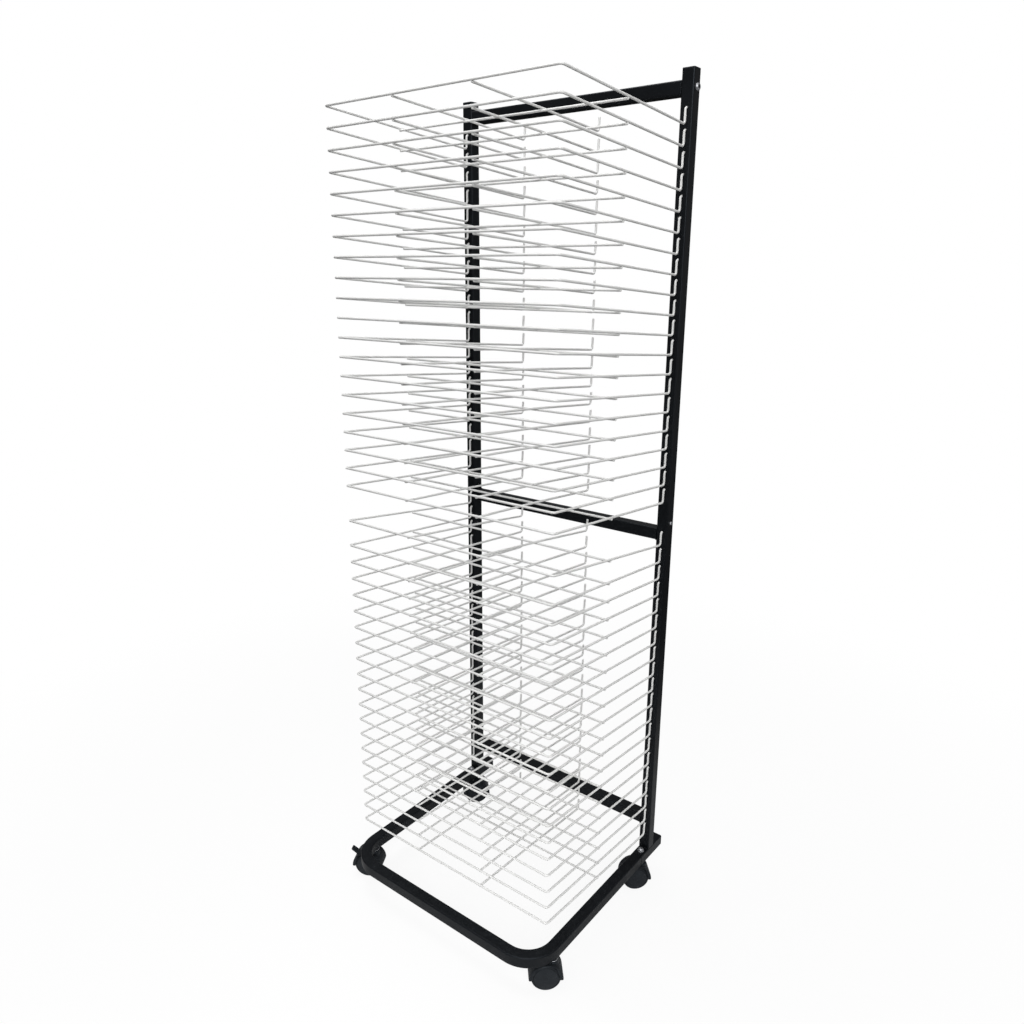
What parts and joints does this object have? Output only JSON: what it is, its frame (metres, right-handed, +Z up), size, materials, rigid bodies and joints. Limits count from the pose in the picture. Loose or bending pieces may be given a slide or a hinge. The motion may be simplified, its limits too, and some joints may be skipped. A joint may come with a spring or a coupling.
{
  "type": "art drying rack",
  "caption": "Wheeled art drying rack: two square-tube uprights on a bent tube base carry two stacks of hook-in wire trays that slope up to the front and lift.",
  "frame": {"origin": "on the floor, midway between the uprights and midway between the front of the base tube and the rear of the feet", "axes": "+X to the right of someone facing the front edges of the trays, +Y to the back where the uprights stand, +Z up"},
  "size_m": [0.5505, 0.461, 1.581],
  "materials": {
    "frame_black": "satin black powder coat on steel tube",
    "tray_white": "white coated steel wire",
    "zinc": "bright zinc plating",
    "caster_grey": "moulded dark grey plastic",
    "wheel_grey": "moulded dark grey plastic with a smooth tread"
  },
  "bodies": {
    "frame": {"left_upright": "frame_black", "right_upright": "frame_black", "top_crossbar": "frame_black", "middle_crossbar": "frame_black", "bottom_crossbar": "frame_black", "base_tube": "frame_black", "left_top_bolt": "zinc", "right_top_bolt": "zinc", "left_middle_bolt": "zinc", "right_middle_bolt": "zinc"},
    "upper_tray_01": {"upper_tray_01": "tray_white"},
    "upper_tray_02": {"upper_tray_02": "tray_white"},
    "upper_tray_03": {"upper_tray_03": "tray_white"},
    "upper_tray_04": {"upper_tray_04": "tray_white"},
    "upper_tray_05": {"upper_tray_05": "tray_white"},
    "upper_tray_06": {"upper_tray_06": "tray_white"},
    "upper_tray_07": {"upper_tray_07": "tray_white"},
    "upper_tray_08": {"upper_tray_08": "tray_white"},
    "upper_tray_09": {"upper_tray_09": "tray_white"},
    "upper_tray_10": {"upper_tray_10": "tray_white"},
    "upper_tray_11": {"upper_tray_11": "tray_white"},
    "upper_tray_12": {"upper_tray_12": "tray_white"},
    "upper_tray_13": {"upper_tray_13": "tray_white"},
    "upper_tray_14": {"upper_tray_14": "tray_white"},
    "upper_tray_15": {"upper_tray_15": "tray_white"},
    "upper_tray_16": {"upper_tray_16": "tray_white"},
    "upper_tray_17": {"upper_tray_17": "tray_white"},
    "upper_tray_18": {"upper_tray_18": "tray_white"},
    "upper_tray_19": {"upper_tray_19": "tray_white"},
    "upper_tray_20": {"upper_tray_20": "tray_white"},
    "lower_tray_01": {"lower_tray_01": "tray_white"},
    "lower_tray_02": {"lower_tray_02": "tray_white"},
    "lower_tray_03": {"lower_tray_03": "tray_white"},
    "lower_tray_04": {"lower_tray_04": "tray_white"},
    "lower_tray_05": {"lower_tray_05": "tray_white"},
    "lower_tray_06": {"lower_tray_06": "tray_white"},
    "lower_tray_07": {"lower_tray_07": "tray_white"},
    "lower_tray_08": {"lower_tray_08": "tray_white"},
    "lower_tray_09": {"lower_tray_09": "tray_white"},
    "lower_tray_10": {"lower_tray_10": "tray_white"},
    "lower_tray_11": {"lower_tray_11": "tray_white"},
    "lower_tray_12": {"lower_tray_12": "tray_white"},
    "lower_tray_13": {"lower_tray_13": "tray_white"},
    "lower_tray_14": {"lower_tray_14": "tray_white"},
    "lower_tray_15": {"lower_tray_15": "tray_white"},
    "lower_tray_16": {"lower_tray_16": "tray_white"},
    "lower_tray_17": {"lower_tray_17": "tray_white"},
    "lower_tray_18": {"lower_tray_18": "tray_white"},
    "lower_tray_19": {"lower_tray_19": "tray_white"},
    "lower_tray_20": {"lower_tray_20": "tray_white"},
    "front_left_caster": {"front_left_caster_housing": "caster_grey"},
    "front_left_wheels": {"front_left_caster_wheels": "wheel_grey"},
    "front_left_brake": {"front_left_brake_pedal": "caster_grey"},
    "front_right_caster": {"front_right_caster_housing": "caster_grey"},
    "front_right_wheels": {"front_right_caster_wheels": "wheel_grey"},
    "rear_left_caster": {"rear_left_caster_housing": "caster_grey"},
    "rear_left_wheels": {"rear_left_caster_wheels": "wheel_grey"},
    "rear_right_caster": {"rear_right_caster_housing": "caster_grey"},
    "rear_right_wheels": {"rear_right_caster_wheels": "wheel_grey"}
  },
  "joints": [
    {"name": "upper_tray_01_lift", "type": "hinge", "parent": "frame", "child": "upper_tray_01", "pos_m": [0, 0.172, 1.5215], "axis": [-1, 0, 0], "range_deg": [0, 15]},
    {"name": "upper_tray_02_lift", "type": "hinge", "parent": "frame", "child": "upper_tray_02", "pos_m": [0, 0.172, 1.4875], "axis": [-1, 0, 0], "range_deg": [0, 4]},
    {"name": "upper_tray_03_lift", "type": "hinge", "parent": "frame", "child": "upper_tray_03", "pos_m": [0, 0.172, 1.4535], "axis": [-1, 0, 0], "range_deg": [0, 4]},
    {"name": "upper_tray_04_lift", "type": "hinge", "parent": "frame", "child": "upper_tray_04", "pos_m": [0, 0.172, 1.4195], "axis": [-1, 0, 0], "range_deg": [0, 4]},
    {"name": "upper_tray_05_lift", "type": "hinge", "parent": "frame", "child": "upper_tray_05", "pos_m": [0, 0.172, 1.3855], "axis": [-1, 0, 0], "range_deg": [0, 4]},
    {"name": "upper_tray_06_lift", "type": "hinge", "parent": "frame", "child": "upper_tray_06", "pos_m": [0, 0.172, 1.3515], "axis": [-1, 0, 0], "range_deg": [0, 4]},
    {"name": "upper_tray_07_lift", "type": "hinge", "parent": "frame", "child": "upper_tray_07", "pos_m": [0, 0.172, 1.3175], "axis": [-1, 0, 0], "range_deg": [0, 4]},
    {"name": "upper_tray_08_lift", "type": "hinge", "parent": "frame", "child": "upper_tray_08", "pos_m": [0, 0.172, 1.2835], "axis": [-1, 0, 0], "range_deg": [0, 4]},
    {"name": "upper_tray_09_lift", "type": "hinge", "parent": "frame", "child": "upper_tray_09", "pos_m": [0, 0.172, 1.2495], "axis": [-1, 0, 0], "range_deg": [0, 4]},
    {"name": "upper_tray_10_lift", "type": "hinge", "parent": "frame", "child": "upper_tray_10", "pos_m": [0, 0.172, 1.2155], "axis": [-1, 0, 0], "range_deg": [0, 4]},
    {"name": "upper_tray_11_lift", "type": "hinge", "parent": "frame", "child": "upper_tray_11", "pos_m": [0, 0.172, 1.1815], "axis": [-1, 0, 0], "range_deg": [0, 4]},
    {"name": "upper_tray_12_lift", "type": "hinge", "parent": "frame", "child": "upper_tray_12", "pos_m": [0, 0.172, 1.1475], "axis": [-1, 0, 0], "range_deg": [0, 4]},
    {"name": "upper_tray_13_lift", "type": "hinge", "parent": "frame", "child": "upper_tray_13", "pos_m": [0, 0.172, 1.1135], "axis": [-1, 0, 0], "range_deg": [0, 4]},
    {"name": "upper_tray_14_lift", "type": "hinge", "parent": "frame", "child": "upper_tray_14", "pos_m": [0, 0.172, 1.0795], "axis": [-1, 0, 0], "range_deg": [0, 4]},
    {"name": "upper_tray_15_lift", "type": "hinge", "parent": "frame", "child": "upper_tray_15", "pos_m": [0, 0.172, 1.0455], "axis": [-1, 0, 0], "range_deg": [0, 4]},
    {"name": "upper_tray_16_lift", "type": "hinge", "parent": "frame", "child": "upper_tray_16", "pos_m": [0, 0.172, 1.0115], "axis": [-1, 0, 0], "range_deg": [0, 4]},
    {"name": "upper_tray_17_lift", "type": "hinge", "parent": "frame", "child": "upper_tray_17", "pos_m": [0, 0.172, 0.9775], "axis": [-1, 0, 0], "range_deg": [0, 4]},
    {"name": "upper_tray_18_lift", "type": "hinge", "parent": "frame", "child": "upper_tray_18", "pos_m": [0, 0.172, 0.9435], "axis": [-1, 0, 0], "range_deg": [0, 4]},
    {"name": "upper_tray_19_lift", "type": "hinge", "parent": "frame", "child": "upper_tray_19", "pos_m": [0, 0.172, 0.9095], "axis": [-1, 0, 0], "range_deg": [0, 4]},
    {"name": "upper_tray_20_lift", "type": "hinge", "parent": "frame", "child": "upper_tray_20", "pos_m": [0, 0.172, 0.8755], "axis": [-1, 0, 0], "range_deg": [0, 4]},
    {"name": "lower_tray_01_lift", "type": "hinge", "parent": "frame", "child": "lower_tray_01", "pos_m": [0, 0.172, 0.792], "axis": [-1, 0, 0], "range_deg": [0, 9]},
    {"name": "lower_tray_02_lift", "type": "hinge", "parent": "frame", "child": "lower_tray_02", "pos_m": [0, 0.172, 0.758], "axis": [-1, 0, 0], "range_deg": [0, 4]},
    {"name": "lower_tray_03_lift", "type": "hinge", "parent": "frame", "child": "lower_tray_03", "pos_m": [0, 0.172, 0.724], "axis": [-1, 0, 0], "range_deg": [0, 4]},
    {"name": "lower_tray_04_lift", "type": "hinge", "parent": "frame", "child": "lower_tray_04", "pos_m": [0, 0.172, 0.69], "axis": [-1, 0, 0], "range_deg": [0, 4]},
    {"name": "lower_tray_05_lift", "type": "hinge", "parent": "frame", "child": "lower_tray_05", "pos_m": [0, 0.172, 0.656], "axis": [-1, 0, 0], "range_deg": [0, 4]},
    {"name": "lower_tray_06_lift", "type": "hinge", "parent": "frame", "child": "lower_tray_06", "pos_m": [0, 0.172, 0.622], "axis": [-1, 0, 0], "range_deg": [0, 4]},
    {"name": "lower_tray_07_lift", "type": "hinge", "parent": "frame", "child": "lower_tray_07", "pos_m": [0, 0.172, 0.588], "axis": [-1, 0, 0], "range_deg": [0, 4]},
    {"name": "lower_tray_08_lift", "type": "hinge", "parent": "frame", "child": "lower_tray_08", "pos_m": [0, 0.172, 0.554], "axis": [-1, 0, 0], "range_deg": [0, 4]},
    {"name": "lower_tray_09_lift", "type": "hinge", "parent": "frame", "child": "lower_tray_09", "pos_m": [0, 0.172, 0.52], "axis": [-1, 0, 0], "range_deg": [0, 4]},
    {"name": "lower_tray_10_lift", "type": "hinge", "parent": "frame", "child": "lower_tray_10", "pos_m": [0, 0.172, 0.486], "axis": [-1, 0, 0], "range_deg": [0, 4]},
    {"name": "lower_tray_11_lift", "type": "hinge", "parent": "frame", "child": "lower_tray_11", "pos_m": [0, 0.172, 0.452], "axis": [-1, 0, 0], "range_deg": [0, 4]},
    {"name": "lower_tray_12_lift", "type": "hinge", "parent": "frame", "child": "lower_tray_12", "pos_m": [0, 0.172, 0.418], "axis": [-1, 0, 0], "range_deg": [0, 4]},
    {"name": "lower_tray_13_lift", "type": "hinge", "parent": "frame", "child": "lower_tray_13", "pos_m": [0, 0.172, 0.384], "axis": [-1, 0, 0], "range_deg": [0, 4]},
    {"name": "lower_tray_14_lift", "type": "hinge", "parent": "frame", "child": "lower_tray_14", "pos_m": [0, 0.172, 0.35], "axis": [-1, 0, 0], "range_deg": [0, 4]},
    {"name": "lower_tray_15_lift", "type": "hinge", "parent": "frame", "child": "lower_tray_15", "pos_m": [0, 0.172, 0.316], "axis": [-1, 0, 0], "range_deg": [0, 4]},
    {"name": "lower_tray_16_lift", "type": "hinge", "parent": "frame", "child": "lower_tray_16", "pos_m": [0, 0.172, 0.282], "axis": [-1, 0, 0], "range_deg": [0, 4]},
    {"name": "lower_tray_17_lift", "type": "hinge", "parent": "frame", "child": "lower_tray_17", "pos_m": [0, 0.172, 0.248], "axis": [-1, 0, 0], "range_deg": [0, 4]},
    {"name": "lower_tray_18_lift", "type": "hinge", "parent": "frame", "child": "lower_tray_18", "pos_m": [0, 0.172, 0.214], "axis": [-1, 0, 0], "range_deg": [0, 4]},
    {"name": "lower_tray_19_lift", "type": "hinge", "parent": "frame", "child": "lower_tray_19", "pos_m": [0, 0.172, 0.18], "axis": [-1, 0, 0], "range_deg": [0, 4]},
    {"name": "lower_tray_20_lift", "type": "hinge", "parent": "frame", "child": "lower_tray_20", "pos_m": [0, 0.172, 0.146], "axis": [-1, 0, 0], "range_deg": [0, 4]},
    {"name": "front_left_swivel", "type": "hinge", "parent": "frame", "child": "front_left_caster", "pos_m": [-0.23655, -0.16543, 0.062], "axis": [0, 0, 1], "continuous": true},
    {"name": "front_left_roll", "type": "hinge", "parent": "front_left_caster", "child": "front_left_wheels", "pos_m": [-0.24607, -0.17093, 0.0275], "axis": [-0.5, 0.866, 0], "continuous": true},
    {"name": "front_left_brake_press", "type": "hinge", "parent": "front_left_caster", "child": "front_left_brake", "pos_m": [-0.26684, -0.18292, 0.04762], "axis": [0.5, -0.866, 0], "range_deg": [0, 10]},
    {"name": "front_right_swivel", "type": "hinge", "parent": "frame", "child": "front_right_caster", "pos_m": [0.23655, -0.16543, 0.062], "axis": [0, 0, 1], "continuous": true},
    {"name": "front_right_roll", "type": "hinge", "parent": "front_right_caster", "child": "front_right_wheels", "pos_m": [0.22824, -0.17265, 0.0275], "axis": [-0.6561, 0.7547, 0], "continuous": true},
    {"name": "rear_left_swivel", "type": "hinge", "parent": "frame", "child": "rear_left_caster", "pos_m": [-0.237, 0.16, 0.062], "axis": [0, 0, 1], "continuous": true},
    {"name": "rear_left_roll", "type": "hinge", "parent": "rear_left_caster", "child": "rear_left_wheels", "pos_m": [-0.22922, 0.16778, 0.0275], "axis": [0.7071, -0.7071, 0], "continuous": true},
    {"name": "rear_right_swivel", "type": "hinge", "parent": "frame", "child": "rear_right_caster", "pos_m": [0.237, 0.16, 0.062], "axis": [0, 0, 1], "continuous": true},
    {"name": "rear_right_roll", "type": "hinge", "parent": "rear_right_caster", "child": "rear_right_wheels", "pos_m": [0.22883, 0.15264, 0.0275], "axis": [-0.6691, 0.7431, 0], "continuous": true}
  ]
}
